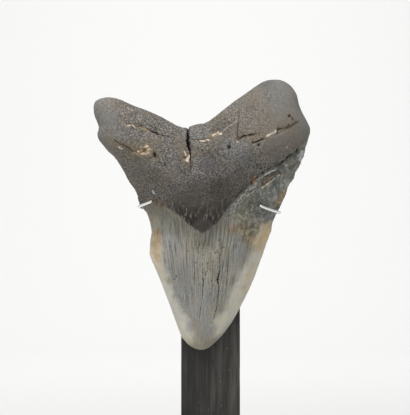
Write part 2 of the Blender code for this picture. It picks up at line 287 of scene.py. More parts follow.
# lines that relief and stains share
grooveLine = [(40.2, 153.4), (38.6, 152.2), (36.3, 150.3), (34.5, 148.8), (31.9, 146.8)]
seamLine = [
    (31.9, 146.8), (29.0, 145.7), (25.5, 143.9), (22.0, 141.4), (18.5, 138.2), (14.6, 134.6), (11.7, 131.6),
]
brokenLedge = [(31.5, 143.4), (28.7, 141.9), (26.0, 140.0), (23.2, 137.9), (21.2, 136.2)]
ledgeLip = [(31.3, 141.8), (28.8, 140.1), (26.9, 138.8), (24.9, 137.3), (23.1, 135.9)]
chalkLine = [(29.8, 144.7), (27.1, 143.3), (24.6, 141.9), (22.5, 140.6)]
ledgeGap = [(31.0, 144.1), (27.8, 142.5), (24.8, 140.8), (22.8, 139.4)]
shoulderLine = [(22.7, 135.6), (22.7, 133.2), (22.9, 130.5)]
rosette = [(-30.0, 153.0)]
flakes = [(-11.9, 151.9), (-11.1, 150.5), (-10.4, 149.1), (-9.8, 147.3)]
bigFlake = [(24.4, 158.7), (26.7, 160.1), (29.3, 161.5)]
starFlake = [(1.1, 159.8), (3.0, 160.1), (5.1, 160.3)]

# cracks: how dark, and their line as (x, z, half width) in mm
toothCracks = [
    (1.0, [(-10.2, 165.3, 0.45), (-10.2, 163.4, 0.7), (-10.5, 161.4, 0.6), (-10.3, 159.2, 0.72),
           (-10.3, 156.7, 0.8), (-9.9, 154.5, 0.85), (-9.4, 152.6, 0.6), (-9.1, 151.0, 0.3),
           (-8.9, 148.5, 0.24), (-8.8, 146.0, 0.2), (-8.9, 144.6, 0.2), (-9.5, 143.0, 0.16),
           (-10.9, 141.5, 0.12)]),
    (0.6, [(-10.6, 145.3, 0.12), (-11.1, 143.5, 0.16), (-10.9, 141.5, 0.12)]),
    (0.8, [(-11.7, 151.7, 0.12), (-11.9, 150.3, 0.22), (-11.1, 148.5, 0.12)]),
    (0.7, [(-38.0, 164.8, 0.08), (-35.7, 165.1, 0.16), (-34.5, 164.7, 0.16), (-33.6, 163.8, 0.18),
           (-30.7, 163.6, 0.2), (-29.0, 163.0, 0.16)]),
    (0.9, [(-29.5, 163.2, 0.12), (-27.0, 161.9, 0.3), (-25.4, 161.1, 0.36), (-23.7, 160.4, 0.32),
           (-21.3, 159.7, 0.26), (-18.8, 159.0, 0.2), (-17.2, 158.5, 0.08)]),
    (0.7, [(-43.9, 157.9, 0.08), (-42.6, 156.9, 0.2), (-40.9, 155.7, 0.22), (-38.4, 154.7, 0.22),
           (-36.0, 153.0, 0.22), (-34.3, 152.3, 0.16), (-32.6, 151.8, 0.08)]),
    (0.9, [(-9.4, 158.2, 0.1), (-8.6, 158.1, 0.22), (-7.1, 157.9, 0.2), (-5.0, 157.7, 0.18),
           (-3.0, 157.8, 0.16), (-0.7, 158.4, 0.14), (1.0, 159.4, 0.08)]),
    (0.75, [(13.1, 172.0, 0.08), (12.8, 168.5, 0.14), (12.5, 166.2, 0.18), (12.2, 163.4, 0.24),
            (12.1, 161.6, 0.2), (12.0, 159.3, 0.16), (12.6, 157.7, 0.1)]),
    (1.0, [(12.8, 158.1, 0.14), (13.3, 158.5, 0.3), (14.9, 159.5, 0.36), (16.8, 159.8, 0.38),
           (18.6, 159.9, 0.28), (21.0, 160.5, 0.1)]),
    (0.95, [(18.4, 155.9, 0.1), (19.4, 156.4, 0.26), (21.2, 157.0, 0.32), (22.8, 157.6, 0.28),
            (24.3, 158.2, 0.1)]),
    (0.7, [(29.6, 160.3, 0.1), (29.9, 161.4, 0.22), (30.8, 162.3, 0.24), (32.3, 162.8, 0.22),
           (34.8, 163.1, 0.22), (36.7, 164.4, 0.18), (39.4, 165.9, 0.14), (40.9, 166.6, 0.08)]),
    (0.6, [(29.4, 160.2, 0.1), (31.0, 160.6, 0.14), (32.6, 161.6, 0.14), (34.0, 162.0, 0.14),
           (35.2, 163.7, 0.1)]),
    (0.6, [(-21.6, 147.0, 0.08), (-20.5, 146.5, 0.16), (-18.7, 146.8, 0.08)]),
    (0.6, [(-20.6, 148.0, 0.08), (-20.5, 146.5, 0.16), (-20.2, 144.9, 0.08)]),
    (0.85, [(1.9, 108.4, 0.08), (3.1, 107.6, 0.12), (3.9, 106.2, 0.14), (4.2, 104.0, 0.16),
            (4.2, 101.0, 0.17), (4.1, 98.6, 0.2), (3.9, 96.8, 0.26), (3.6, 95.2, 0.34), (3.4, 93.8, 0.36),
            (3.8, 92.0, 0.2), (3.7, 89.3, 0.17), (3.4, 86.5, 0.16), (3.0, 83.3, 0.15), (2.5, 80.8, 0.16),
            (1.8, 78.7, 0.13), (1.1, 76.0, 0.1), (0.4, 73.4, 0.08)]),
    (0.8, [(1.7, 94.0, 0.08), (2.6, 94.1, 0.2), (3.7, 94.3, 0.2)]),
    (0.75, [(-3.7, 103.2, 0.08), (-3.7, 101.5, 0.16), (-3.6, 99.8, 0.14), (-3.5, 96.6, 0.2),
            (-3.3, 93.9, 0.22), (-3.5, 90.7, 0.2), (-3.6, 87.9, 0.16), (-4.0, 84.8, 0.14),
            (-4.5, 81.1, 0.12), (-5.1, 77.4, 0.12), (-5.7, 73.6, 0.08)]),
    (0.6, [(8.4, 110.2, 0.08), (8.3, 105.6, 0.16), (8.1, 102.2, 0.16), (7.7, 98.8, 0.18),
           (7.4, 95.1, 0.16), (7.3, 91.0, 0.08)]),
    (0.75, [(-7.8, 109.5, 0.08), (-7.7, 104.3, 0.14), (-7.4, 100.2, 0.16), (-7.4, 96.1, 0.16),
            (-7.4, 91.5, 0.08)]),
    (0.6, [(-18.6, 112.0, 0.08), (-18.0, 107.8, 0.12), (-17.1, 104.5, 0.14), (-16.8, 100.0, 0.08)]),
    (0.6, [(10.5, 109.8, 0.08), (10.2, 105.6, 0.14), (10.2, 101.5, 0.08)]),
    (0.6, [(-10.8, 112.0, 0.08), (-10.8, 107.0, 0.13), (-10.7, 101.5, 0.08)]),
    (0.5, [(0.2, 110.6, 0.08), (0.2, 105.2, 0.12), (0.0, 99.8, 0.08)]),
    (0.6, [(-2.9, 99.6, 0.08), (-1.9, 100.7, 0.14), (-1.0, 100.0, 0.14), (-1.4, 98.4, 0.14),
           (-2.3, 97.7, 0.14), (-2.0, 95.8, 0.08)]),
    (0.55, [(0.9, 93.2, 0.08), (0.7, 89.3, 0.13), (0.3, 86.0, 0.08)]),
    (0.5, [(5.4, 105.2, 0.08), (5.6, 99.7, 0.12), (5.4, 95.4, 0.08)]),
]
# pits: radius and depth in mm, how dark, and their line
toothPits = [
    (0.62, 1.2, 1.0, [(-25.2, 151.5), (-25.0, 150.3)]), (0.40, 0.6, 0.8, [(-20.5, 146.5)]),
    (0.45, 0.6, 0.8, [(-13.5, 148.4)]), (0.32, 0.5, 0.7, [(-12.1, 151.1)]),
    (0.34, 0.6, 0.8, [(8.6, 156.2), (8.4, 155.2)]), (0.8, 1.1, 1.0, [(8.2, 154.3)]),
    (0.6, 0.9, 1.0, [(21.7, 155.2)]), (0.55, 0.8, 0.7, [(-3.6, 152.8)]), (0.30, 0.4, 0.7, [(-3.8, 151.6)]),
    (0.75, 1.0, 0.55, [(35.7, 168.3)]), (0.50, 0.7, 0.9, [(35.3, 164.2)]),
    (0.45, 0.5, 0.6, [(-31.8, 129.6)]), (0.30, 0.4, 0.6, [(15.4, 154.0)]),
    (0.30, 0.4, 0.6, [(-47.4, 161.7)]), (0.28, 0.4, 0.6, [(1.8, 154.8)]),
    (0.25, 0.4, 0.6, [(-15.6, 154.0)]), (0.30, 0.4, 0.5, [(18.1, 152.0)]), (0.45, 0.6, 0.95, [(3.8, 96.9)]),
    (0.50, 0.6, 1.0, [(3.5, 94.3)]), (0.42, 0.4, 0.8, [(-16.4, 94.3)]), (0.34, 0.4, 0.7, [(5.4, 89.3)]),
    (0.30, 0.3, 0.6, [(-2.7, 96.7)]), (0.30, 0.3, 0.6, [(-1.1, 97.1)]), (0.26, 0.3, 0.5, [(-0.5, 92.7)]),
    (0.26, 0.3, 0.5, [(-1.9, 91.6)]), (0.25, 0.3, 0.5, [(1.1, 102.5)]), (0.30, 0.4, 0.6, [(42.0, 151.7)]),
]
# small pits strewn about: their middle, spread, count, radii, depth, how dark, and length
strewnPits = [
    ((-0.5, 97.0), (5.0, 6.5), 46, (0.2, 0.36), 0.25, (0.45, 0.9), 0.5),
    ((-6.0, 101.0), (7.0, 7.0), 16, (0.2, 0.36), 0.25, (0.45, 0.9), 0.5),
    (rosette[0], 1.7, 16, (0.2, 0.32), 0.3, (0.4, 0.9), 0.0),
]
scatter = np.random.default_rng(6)
for middle, spread, count, radii, depth, darkness, length in strewnPits:
    for x, z in scatter.normal(middle, spread, (count, 2)):
        pitLine = [(x, z), (x, z + length)] if length else [(x, z)]
        toothPits.append((scatter.uniform(*radii), depth, scatter.uniform(*darkness), pitLine))
# furrows and, below zero, raised ridges: half width and depth in mm, and their line
toothRelief = [
    (0.80, 1.2, grooveLine), (0.45, 0.8, seamLine), (0.95, 0.6, brokenLedge), (0.35, 0.6, ledgeGap),
    (0.40, -0.3, ledgeLip), (0.55, -0.3, chalkLine), (0.8, -0.15, [(20.1, 139.7), (20.3, 136.5)]),
    (0.40, 0.25, shoulderLine), (2.0, 0.35, rosette), (0.8, -0.3, rosette), (0.50, -0.3, flakes),
    (0.5, -0.25, starFlake), (0.55, -0.25, bigFlake), (1.4, 0.3, [(31.0, 162.0), (34.5, 162.8)]),
]
# stains and mineral flecks: half width in mm, strength and line
toothStains = {
    "ochre": [
        (0.75, 0.85, [(-38.3, 164.2), (-35.5, 164.2), (-33.6, 163.3), (-30.7, 163.1), (-27.2, 161.4)]),
        (0.6, 0.7, [(-27.2, 161.5), (-24.4, 160.2)]),
        (0.7, 0.6, [(-41.2, 173.7), (-38.0, 172.0), (-35.3, 171.4)]),
        (0.8, 0.55, [(-38.8, 170.9), (-38.1, 168.1)]),
        (0.6, 0.5, [(-35.0, 170.7), (-34.5, 167.7), (-35.0, 164.9)]),
        (1.0, 0.6, [(-45.5, 157.2), (-43.3, 155.1), (-40.5, 153.7)]), (3.2, 1.5, rosette),
        (1.1, 0.9, [(-36.5, 152.9), (-33.0, 151.6)]), (1.2, 0.7, [(-27.3, 154.6), (-26.6, 153.5)]),
        (0.5, 0.6, [(-11.1, 145.3), (-10.8, 143.0), (-9.7, 142.4)]),
        (0.5, 0.6, [(-9.1, 157.7), (-7.1, 157.4), (-4.8, 157.2)]),
        (1.1, 0.9, [(-1.2, 159.2), (1.1, 159.3), (4.0, 160.8)]), (0.8, 0.5, [(1.1, 162.9), (5.6, 162.6)]),
        (0.8, 0.7, [(11.6, 157.6), (13.8, 157.2)]), (0.7, 0.6, [(14.5, 158.4), (19.0, 159.0)]),
        (0.8, 0.65, [(19.0, 155.6), (22.0, 156.5), (25.0, 157.9), (28.5, 159.4)]),
        (0.8, 0.6, [(23.1, 161.1), (25.8, 161.8)]), (1.1, 0.8, [(30.8, 161.6), (33.5, 162.2)]),
        (0.9, 0.6, [(35.4, 163.4), (37.7, 163.9), (40.0, 165.3)]),
        (0.7, 0.5, [(15.5, 163.4), (18.6, 164.7), (21.3, 165.6)]), (1.6, 0.65, [(33.9, 154.4)]),
        (1.0, 0.5, [(28.6, 173.7)]), (0.9, 0.5, [(31.8, 151.5), (34.1, 152.8), (36.9, 154.3)]),
        (0.8, 0.45, [(32.8, 149.5), (36.0, 152.2)]),
        (0.4, 0.6, [(30.1, 142.9), (27.3, 141.2), (24.8, 139.5)]),
        (0.8, 0.5, [(32.7, 143.9), (33.8, 145.0)]), (1.0, 1.0, [(33.1, 134.2), (31.8, 131.0)]),
        (1.1, 1.0, [(30.6, 129.6), (30.1, 127.3)]), (1.0, 0.9, [(-23.9, 128.1), (-21.1, 126.6)]),
        (0.6, 0.6, [(-25.2, 132.1), (-24.3, 131.4)]), (1.2, 0.4, [(-11.1, 107.0), (-10.7, 102.4)]),
        (1.0, 0.35, [(-4.4, 107.0), (-2.1, 104.3)]), (0.7, 0.5, [(17.8, 98.6), (16.5, 95.9)]),
        (0.8, 0.4, [(-14.8, 84.5), (-13.5, 80.9)]),
    ],
    "pale": [
        (0.42, 0.9, [(-37.8, 164.2), (-36.2, 164.3)]), (0.42, 1.0, [(-35.2, 164.0), (-34.0, 163.2)]),
        (0.6, 0.6, [(-37.5, 172.5), (-35.3, 171.3)]), (0.5, 0.8, [(-42.1, 154.6), (-40.0, 153.5)]),
        (0.5, 1.35, flakes), (0.42, 1.5, [(-9.6, 151.4), (-10.1, 149.3)]),
        (0.4, 1.2, [(-11.4, 148.9), (-10.6, 147.9)]),
        (0.5, 1.15, [(-4.8, 157.2), (-3.0, 157.3), (-1.2, 157.8)]), (0.5, 1.05, starFlake),
        (0.4, 0.9, [(2.2, 159.0), (3.0, 160.1), (3.6, 161.7)]), (0.42, 1.2, [(11.8, 156.7), (13.4, 156.3)]),
        (0.6, 1.45, bigFlake), (0.7, 0.75, [(33.7, 154.6), (34.3, 154.2)]),
        (1.0, 0.5, [(33.4, 135.0), (32.0, 132.0)]), (0.4, 1.05, ledgeLip),
        (0.4, 1.0, [(20.3, 138.4), (20.5, 137.2)]), (0.9, 0.7, [(33.8, 145.3), (34.4, 146.4)]),
        (0.3, 0.6, [(-4.3, 127.1), (-4.2, 126.0)]), (2.2, 0.45, [(6.5, 103.0), (6.8, 96.0)]),
    ],
    "brown": [
        (0.6, 0.8, [(-35.7, 165.3), (-30.7, 163.9)]), (1.0, 2.5, rosette),
        (0.8, 0.9, [(-43.4, 157.6), (-38.4, 154.8), (-35.0, 152.5)]),
        (1.2, 0.7, [(0.0, 161.8), (3.6, 162.6)]), (1.2, 1.0, [(12.2, 158.7), (12.7, 157.9)]),
        (0.9, 0.8, [(14.0, 158.6), (17.0, 159.7), (21.3, 160.4)]),
        (0.8, 0.9, [(18.6, 156.0), (23.6, 157.9)]),
        (1.0, 0.9, [(29.8, 160.8), (30.8, 162.3), (34.8, 163.1), (39.4, 165.9)]),
        (1.5, 0.7, [(35.5, 164.4), (37.0, 164.4)]), (1.2, 0.8, [(35.7, 168.3), (37.2, 166.2)]),
        (1.1, 0.6, [(8.6, 156.2), (8.2, 154.2)]), (1.3, 0.3, [(29.5, 149.9), (33.2, 151.9)]),
        (0.9, 1.0, brokenLedge), (0.7, 0.7, [(15.8, 138.7), (14.9, 137.6)]),
        (1.0, 0.8, [(19.1, 140.4), (18.7, 138.6)]),
        (1.8, 0.75, [(-26.3, 130.2), (-24.3, 128.9), (-22.0, 127.5)]),
    ],
    "chalk": [
        # the first line, broad along the top rim right of the notch, is a painted highlight where the rim
        # faces up; the others are chalky marks
        (1.6, 0.55, [(-6.5, 168.3), (-1.0, 168.7), (3.0, 170.4)]),
        (0.22, 0.8, [(4.7, 161.1), (8.1, 163.7), (11.8, 166.4)]), (0.42, 1.1, chalkLine),
        (0.55, 2.0, [(41.5, 152.8), (41.1, 150.8), (40.8, 149.2)]),
        (0.5, 1.1, [(39.6, 150.8), (38.9, 149.4)]), (0.7, 0.5, [(36.1, 147.8), (38.0, 149.4)]),
        (0.32, 0.8, shoulderLine), (0.5, 1.2, [(-26.1, 134.8), (-25.5, 133.2)]),
    ],
    "orange": [
        (0.4, 1.2, [(27.0, 158.8)]), (0.85, 1.2, [(20.2, 140.8), (19.5, 139.1), (20.0, 137.2)]),
        (0.6, 0.6, [(15.9, 91.9), (15.4, 90.4)]),
    ],
    "dark": [
        # the dark lines in the groove, the seam and the gap are painted shade where the broken ledge
        # overhangs its furrows
        (0.55, 1.1, grooveLine), (0.32, 0.8, seamLine), (0.34, 0.9, ledgeGap),
        (0.6, 0.5, [(15.9, 138.1), (15.0, 136.8)]),
    ],
    "pink": [
        (0.5, 0.7, [(30.5, 142.2), (27.5, 140.4), (24.5, 138.4)]),
        (0.9, 0.6, [(5.0, 97.9), (5.3, 94.3), (5.8, 89.7)]), (0.7, 0.5, [(6.2, 126.0), (6.3, 123.9)]),
        (0.6, 0.5, [(12.9, 89.5), (11.9, 87.3)]),
    ],
    "straw": [
        (0.65, 1.2, [(12.3, 124.0), (14.6, 122.1), (16.2, 121.8)]),
        (0.65, 1.1, [(12.7, 117.9), (13.3, 116.6), (14.6, 115.0)]),
        (0.65, 1.3, [(18.2, 111.7), (16.6, 113.0), (16.2, 114.9), (16.9, 116.3),
                     (18.2, 117.1), (19.9, 116.7), (21.2, 116.4)]),
        (1.0, 0.9, [(18.2, 113.5)]), (0.5, 0.8, [(11.9, 121.9), (13.3, 120.5)]),
    ],
}
# pale flecks in a ring round the rosette
fleckLook = {
    "count": 32,
    "turn": 2.0,             # spread of the angles at which they lie
    "reach": 1.8, "reachSpread": 0.4,        # mm from the middle
    "stretch": 1.2,          # how much wider than tall the ring is
    "halfWidth": (0.3, 0.45), "strength": 1.35,
}
fleckPlaces = scatter.normal(
    (0.0, fleckLook["reach"]), (fleckLook["turn"], fleckLook["reachSpread"]), (fleckLook["count"], 2))
for turn, reach in fleckPlaces:
    x = rosette[0][0] + reach * fleckLook["stretch"] * math.cos(turn)
    z = rosette[0][1] + reach * math.sin(turn)
    toothStains["pale"].append((scatter.uniform(*fleckLook["halfWidth"]), fleckLook["strength"], [(x, z)]))
# broad washes of tone: half width in mm, strength and line
toothWashes = {
    # these grey washes are partly painted shade, most of all on the root's lower bulge where it turns down
    # from the light, and partly a darker tone of the tooth
    "umber": [
        (6.8, 0.9, [(-6.0, 135.0), (1.0, 137.0)]), (3.5, 0.35, [(-26.0, 164.0)]),
        (6.5, 0.6, [(0.0, 145.0), (1.0, 149.0)]), (6.0, 0.15, [(-22.0, 143.0), (-13.0, 143.0)]),
        (3.0, 0.15, [(-46.0, 161.5)]), (6.0, 0.1, [(-41.0, 155.0), (-33.0, 146.0)]),
        (3.0, 0.15, [(-7.0, 65.0), (-2.0, 65.0)]), (4.5, 0.35, [(6.0, 163.0), (13.0, 161.0)]),
        (4.0, 0.15, [(-10.0, 121.0), (4.0, 118.0)]), (3.0, 0.2, [(-1.0, 86.0), (8.0, 82.0)]),
        (2.0, 0.4, [(3.5, 123.0), (9.5, 129.0)]), (1.6, 0.3, [(-27.6, 116.5), (-27.2, 111.0)]),
        (5.0, 0.15, [(10.0, 158.0), (16.0, 172.0)]), (3.5, 0.2, [(26.0, 183.0)]),
        (5.5, 0.4, [(-4.0, 127.0), (2.0, 127.0)]), (3.0, 0.3, [(-31.0, 131.0)]),
    ],
    "tan": [
        (6.0, 0.4, [(36.0, 159.0)]), (3.5, 0.3, [(21.0, 151.0), (31.0, 154.0)]),
        (4.5, 0.9, [(-36.0, 154.0), (-26.0, 151.0)]), (4.0, 0.4, [(-45.0, 157.0)]),
        (5.0, 0.35, [(18.0, 172.0), (18.0, 182.0)]), (4.5, 0.3, [(-28.0, 143.0)]),
        (3.5, 0.35, [(-42.0, 174.0)]), (3.5, 0.3, [(-6.0, 110.0), (0.0, 110.0)]),
        (3.0, 0.25, [(-28.5, 125.0), (-27.5, 119.0)]), (3.0, 0.45, [(-7.0, 66.0), (-2.0, 66.0)]),
        (5.0, 0.3, [(1.0, 106.0), (1.0, 98.0)]), (4.0, 0.5, [(18.0, 117.0), (18.5, 111.0)]),
        (3.5, 0.6, [(16.0, 160.0), (24.0, 160.0)]), (3.0, 0.6, [(31.0, 164.0), (35.0, 161.5)]),
        (3.0, 0.5, [(-6.0, 151.5), (-1.0, 152.5)]), (4.0, 0.5, [(34.5, 167.5), (37.0, 161.0)]),
        (4.0, 0.5, [(3.0, 163.5), (8.0, 164.0)]), (2.5, 0.6, [(-11.0, 151.0), (-10.5, 146.0)]),
        (8.0, 0.12, [(-38.0, 169.0), (-34.0, 157.0)]), (8.0, 0.3, [(16.0, 168.0), (30.0, 160.0)]),
    ],
    "haze": [
        (3.5, 0.3, [(-11.0, 114.0)]), (7.0, 0.6, [(-17.0, 108.0), (-14.5, 94.0), (-9.5, 78.0)]),
        (4.0, 0.3, [(16.5, 106.0), (10.5, 93.0)]), (9.0, 0.6, [(-14.0, 146.0), (6.0, 148.0)]),
    ],
    "rust": [
        (2.0, 0.85, [(9.5, 117.0), (14.5, 118.0)]),
        (2.4, 0.95, [(-24.4, 115.5), (-24.3, 111.5), (-25.4, 107.5)]),
        (1.5, 1.0, [(-25.0, 105.8), (-24.0, 103.0)]), (1.2, 0.3, [(-23.6, 101.0), (-20.4, 93.6)]),
        (1.6, 0.9, [(33.2, 134.5), (31.5, 131.0), (30.4, 127.6)]),
        (3.2, 0.9, [(17.0, 115.5), (18.0, 113.0)]), (2.6, 0.8, [(26.0, 118.5), (22.0, 109.0)]),
        (1.6, 0.35, [(-29.5, 126.5), (-28.0, 121.0)]), (1.4, 0.3, [(19.5, 101.0), (15.5, 90.0)]),
        (2.5, 0.6, [(-25.5, 129.5), (-23.0, 127.5)]), (2.0, 0.5, [(20.5, 119.0), (22.0, 116.0)]),
    ],
    "steel": [
        (5.0, 0.5, [(-11.0, 143.0)]), (4.5, 0.35, [(-23.0, 148.0), (-17.0, 148.0)]),
        (4.0, 0.25, [(-49.5, 172.0), (-49.0, 166.0)]), (5.5, 0.45, [(31.0, 179.0), (31.0, 173.0)]),
        (4.0, 0.35, [(28.0, 167.0)]), (5.5, 0.35, [(5.0, 146.0)]),
        (2.5, 0.4, [(22.0, 184.0), (34.0, 182.5)]), (3.0, 0.5, [(-21.0, 118.0), (-17.5, 117.0)]),
        (2.4, 0.6, [(29.5, 137.0), (31.0, 135.0)]),
        (3.0, 0.2, [(8.0, 126.5), (13.0, 131.0), (19.0, 136.0)]),
        (2.2, 0.5, [(17.5, 107.5), (15.5, 103.0)]), (3.0, 0.5, [(19.0, 131.5), (24.5, 130.5)]),
        (2.5, 0.5, [(9.0, 124.0)]), (3.0, 0.5, [(-18.5, 98.0), (-16.5, 92.0)]), (4.0, 0.4, [(8.0, 141.0)]),
        (2.2, 0.5, [(4.0, 80.0)]), (3.5, 0.6, [(-11.0, 98.0), (-10.0, 90.0)]),
        (6.0, 0.3, [(-26.0, 141.0), (-18.0, 137.0)]), (6.0, 0.4, [(3.0, 141.0), (10.0, 147.0)]),
    ],
    "slate": [
        (5.0, 0.8, [(21.5, 127.5), (23.5, 125.0)]), (5.0, 0.3, [(25.0, 134.0), (35.0, 144.0)]),
        (3.5, 0.1, [(16.0, 121.0)]),
    ],
    "olive": [
        (5.5, 0.25, [(-24.0, 124.0), (-18.0, 121.5)]), (4.0, 0.5, [(16.0, 130.0), (16.0, 124.0)]),
        (2.6, 0.3, [(13.5, 121.5), (15.0, 117.5)]),
    ],
}
stainColours = {             # in the order in which they lie on each other
    "ochre": "#86765b", "brown": "#4a3b2b", "orange": "#9a7752", "pink": "#8c7d70", "straw": "#918e76",
    "pale": "#c9b9a7", "chalk": "#a9abaa", "dark": "#0c0a08",
}
washColours = {              # the surface is multiplied by these
    "umber": "#aaa7a2", "tan": "#f0e2c4", "steel": "#d8dfe3", "slate": "#bcc1c4", "olive": "#d4d3bb",
    "rust": "#f3d8b8", "haze": "#e7e9f5",
}
zoneNames = [                # the zones that the mesh carries for the material, beside the stains and washes
    "root", "band", "lobeEnds", "shoulder", "strand", "slant", "cream", "underBand", "pleats", "lined",
    "lowRoot", "apex", "crack", "crackSide",
]


def copyOfNode(name, newName):
    # the CAD node's triangles are loose, so the copy is merged first
    copied = bpy.data.objects.new(newName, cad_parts[name].data.copy())
    bpy.context.scene.collection.objects.link(copied)
    copied.data.materials.clear()
    onlySelect(copied)
    bpy.ops.object.mode_set(mode="EDIT")
    bpy.ops.mesh.select_all(action="SELECT")
    bpy.ops.mesh.remove_doubles(threshold=0.00001)
    bpy.ops.object.mode_set(mode="OBJECT")
    return copied


def thinBack(tooth):
    # the flat back needs fewer triangles than the display face
    onlySelect(tooth)
    for face in tooth.data.polygons:
        face.select = face.normal.y > toothLook["backFacing"]
    bpy.ops.object.mode_set(mode="EDIT")
    bpy.ops.mesh.select_mode(type="FACE")
    bpy.ops.mesh.decimate(ratio=toothLook["backShare"])
    bpy.ops.object.mode_set(mode="OBJECT")


def fade(name, values):
    return smoothStep(*zoneFades[name], values)


def uneven(name, places):
    strength, size, seed, octaves = toothNoise[name]
    return strength * noiseAt(places, size, seed, octaves)


def heightOf(border, x):
    return np.interp(x, *np.array(border).T)


def toothZones(places, normals):
    # how far each point belongs to each zone, from 0 to 1, and where it lies across the enamel's strands
    look = toothLook
    x, z = places[:, 0], places[:, 2]
    front = fade("front", -normals[:, 1])
    strand = (x - look["tipX"]) * look["fanSpan"] / (z - look["fanPoint"])
    strandPlaces = np.stack([strand, np.zeros_like(x), z], axis=1)
    shortLines = uneven("shortLines", strandPlaces)

    # root, dark band and enamel
    frontBorder = heightOf(junctionFront, x)
    border = front * frontBorder + (1 - front) * (heightOf(junctionBack, x) + uneven("backBorder", places))
    above = z - border + uneven("borderFray", places) + look["frayOfBorder"] * shortLines
    root = fade("root", above)
    bandHeight = np.maximum(heightOf(bandTop, x) - frontBorder, 1.0)
    band = front * root * (1 - fade("overBand", above / bandHeight))
    band *= fade("bandLeft", x) * (1 - look["bandFadeRight"] * fade("bandRight", x))

    # the lobes' worn ends, lighter partly from wear and partly as a painted highlight where they face up, and
    # the pleats and the worn shoulder under the band on the right
    rightLobe = fade("rightLobe", x) * fade("rightLobeUp", z)
    rightRoot = look["rightRootWearAndLight"] * fade("rightRoot", x) * fade("rightRootUp", z)
    lobeEnds = np.maximum.reduce([look["leftLobeWearAndLight"] * fade("leftLobe", x), rightLobe, rightRoot])
    pleats = fade("pleatsDown", above) * fade("pleatsUp", above)
    pleats *= fade("pleatsLeft", x) * fade("pleatsRight", x)
    fromLowLeft = look["lowRootLeft"] + (1 - look["lowRootLeft"]) * fade("lowRootLeft", x)

    # pale margins of the crown
    drift = uneven("drift", places)
    driftLeft, driftRight, driftUp = look["marginDrift"]
    fromLeft = x - np.interp(z, *np.array(marginLeft).T[::-1]) + driftLeft * drift
    fromRight = x - np.interp(z, *np.array(marginRight).T[::-1]) + driftRight * drift
    drifted = z + driftUp * drift
    onLeft = fade("marginLeft", fromLeft) * fade("marginLeftTop", drifted)
    onRight = fade("marginRight", fromRight) * fade("marginRightTop", drifted)
    apexX, apexZ = look["apex"]
    pleatX, pleatZ = look["acrossPleats"]
    return {
        "front": front, "root": root, "band": band, "lobeEnds": lobeEnds,
        "shoulder": fade("shoulderLeft", x) * fade("shoulderUp", z) * (1 - root) * front,
        "pleats": pleats * front,
        "underBand": fade("underBand", above) * (1 - pleats) * (1 - root) * front,
        # the root's lower bulge is darker, partly its own tone and partly painted shade where it turns down
        # from the light
        "lowRoot": root * fade("lowRoot", above) * fade("lowRootRight", x) * fromLowLeft * front,
        "apex": fade("apex", np.hypot(x - apexX, (z - apexZ) * look["apexFlatness"])),
        "cream": np.maximum.reduce([onLeft, onRight, fade("paleTip", drifted)]) * (1 - root),
        "lined": fade("lined", drifted),
        "strand": strand * mm, "slant": (pleatX * x + pleatZ * z) * mm,
        "longLines": uneven("longLines", strandPlaces), "shortLines": shortLines,
    }


def rimPush(places, normals):
    # the rim gets its width and its scallops back
    look = toothLook
    x, z = places[:, 0], places[:, 2]
    rim = np.clip(1 - 1.3 * np.abs(normals[:, 1]), 0, 1)
    sides = np.where(normals[:, 0] < 0, heightOf(leftRim, z), heightOf(rightRim, z))
    onTop = fade("top", normals[:, 2])
    notchStep = look["notchStep"] * fade("notchLeft", x) * fade("notchRight", x) * onTop
    return rim * (sides * (1 - onTop) + look["topPush"] * onTop + notchStep)


def fineRelief(places, zones):
    # the root's pores and swells, the enamel's lines and its flaked steps
    look = toothLook
    root, band = zones["root"], zones["band"]
    pores = np.clip(uneven("pores", places) - 0.02, 0, 1)
    steps = fade("bigSteps", uneven("bigSteps", places))
    steps += 0.5 * fade("smallSteps", uneven("smallSteps", places))
    porous = root * (1 - band) * (1 - 0.6 * zones["lobeEnds"])
    move = root * look["rootSwells"] * uneven("swells", places) - porous * look["rootPores"] * pores
    move += (1 - root) * look["strandRelief"] * zones["longLines"]
    move += (band + zones["pleats"]) * look["bandRelief"] * zones["shortLines"]
    return move + zones["shoulder"] * look["flakeSteps"] * (steps - 0.7)


def cutCracks(places, zones, move):
    # each crack is a furrow at least as wide as the mesh can show, and the material draws its true width
    look = toothLook
    x, z = places[:, 0], places[:, 2]
    wobble = uneven("crackWobble", places) + uneven("crackBend", places)
    ragged = np.clip(0.8 + uneven("crackWidth", places), 0.35, 1.3)
    nearest = np.full(len(x), 9.0)
    zones["crack"], zones["crackSide"] = np.zeros(len(x)), np.full(len(x), 9.0)
    for darkness, line in toothCracks:
        far, side, along, width = nearestOnLine(line, x, z)
        offset, width = side * far + wobble, width * ragged
        ends = fade("crackStart", along) * fade("crackEnd", along)
        wide = np.maximum(width, look["voxel"])
        move -= zones["front"] * ends * look["crackDepth"] * width ** 2 / wide * np.exp(-(offset / wide) ** 2)
        closer = np.abs(offset) < nearest
        nearest = np.where(closer, np.abs(offset), nearest)
        zones["crackSide"] = np.where(closer, offset / width, zones["crackSide"])
        shown = darkness * ends * fade("crackReach", far) * zones["front"]
        zones["crack"] = np.where(closer, shown, zones["crack"])


